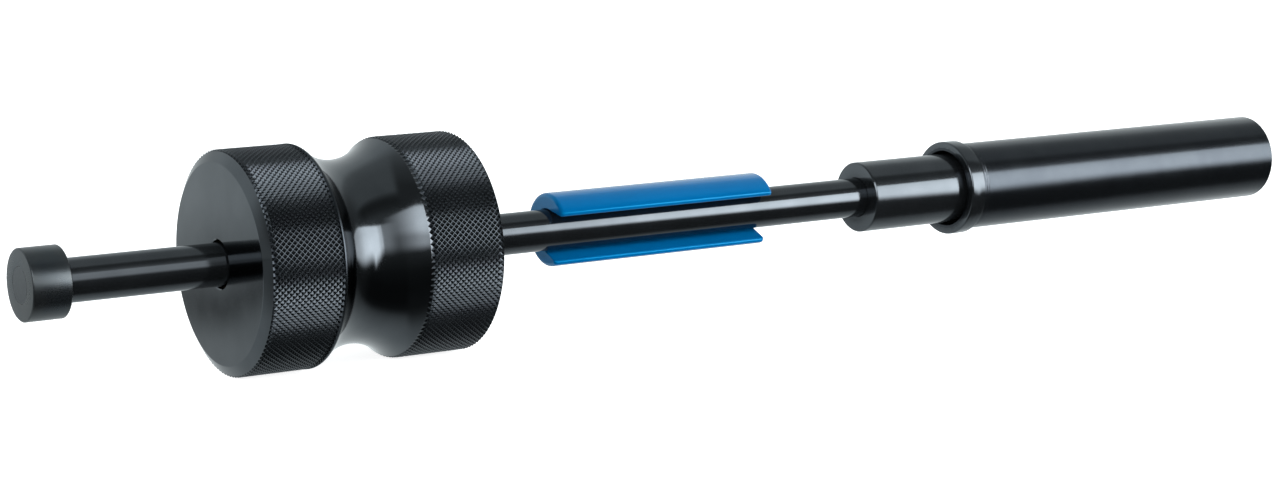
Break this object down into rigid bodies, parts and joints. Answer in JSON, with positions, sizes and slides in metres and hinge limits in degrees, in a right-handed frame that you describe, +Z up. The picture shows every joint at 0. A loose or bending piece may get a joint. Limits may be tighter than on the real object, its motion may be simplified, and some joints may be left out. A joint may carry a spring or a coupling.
{
  "type": "slide hammer puller",
  "caption": "Slide hammer puller: a waisted steel weight slides on a rod from an end stop to a blue hand guard; coupling and open threaded sleeve at the tool end.",
  "frame": {"origin": "centre of the puller sleeve's open mouth, on the rod axis", "axes": "+X along the rod axis, out of the sleeve's mouth towards the tool; +Z up; the guard's open side faces -Y, a little downward"},
  "size_m": [0.6554, 0.0934, 0.0934],
  "materials": {
    "weight_steel": "black oxide, semi-gloss, knurled bands",
    "rod_steel": "black oxide, ground and oiled, semi-gloss",
    "stop_steel": "black oxide, turned, satin",
    "coupling_steel": "black oxide, turned, semi-gloss",
    "sleeve_steel": "black oxide, satin",
    "ring_steel": "black oxide, finely turned, gloss",
    "bush_bronze": "plain bronze bearing, dull",
    "guard_plastic": "moulded blue plastic, gloss",
    "screw_steel": "black oxide"
  },
  "bodies": {
    "rod_assembly": {"pull_rod": "rod_steel", "end_stop": "stop_steel", "end_stop_lock_screw": "screw_steel", "rod_coupling": "coupling_steel", "coupling_lock_screw": "screw_steel", "puller_sleeve": "sleeve_steel", "sleeve_ring": "ring_steel"},
    "weight_bushes": {"weight_bush_front": "bush_bronze", "weight_bush_rear": "bush_bronze"},
    "weight": {"slide_weight": "weight_steel"},
    "guard": {"hand_guard": "guard_plastic"}
  },
  "joints": [
    {"name": "weight_slide", "type": "slide", "parent": "rod_assembly", "child": "weight_bushes", "axis": [1, 0, 0], "range_m": [-0.0677, 0.0474]},
    {"name": "weight_spin", "type": "hinge", "parent": "weight_bushes", "child": "weight", "pos_m": [-0.51735, 0, 0], "axis": [1, 0, 0], "continuous": true},
    {"name": "guard_slide", "type": "slide", "parent": "rod_assembly", "child": "guard", "axis": [1, 0, 0], "range_m": [0, 0.0567]}
  ]
}
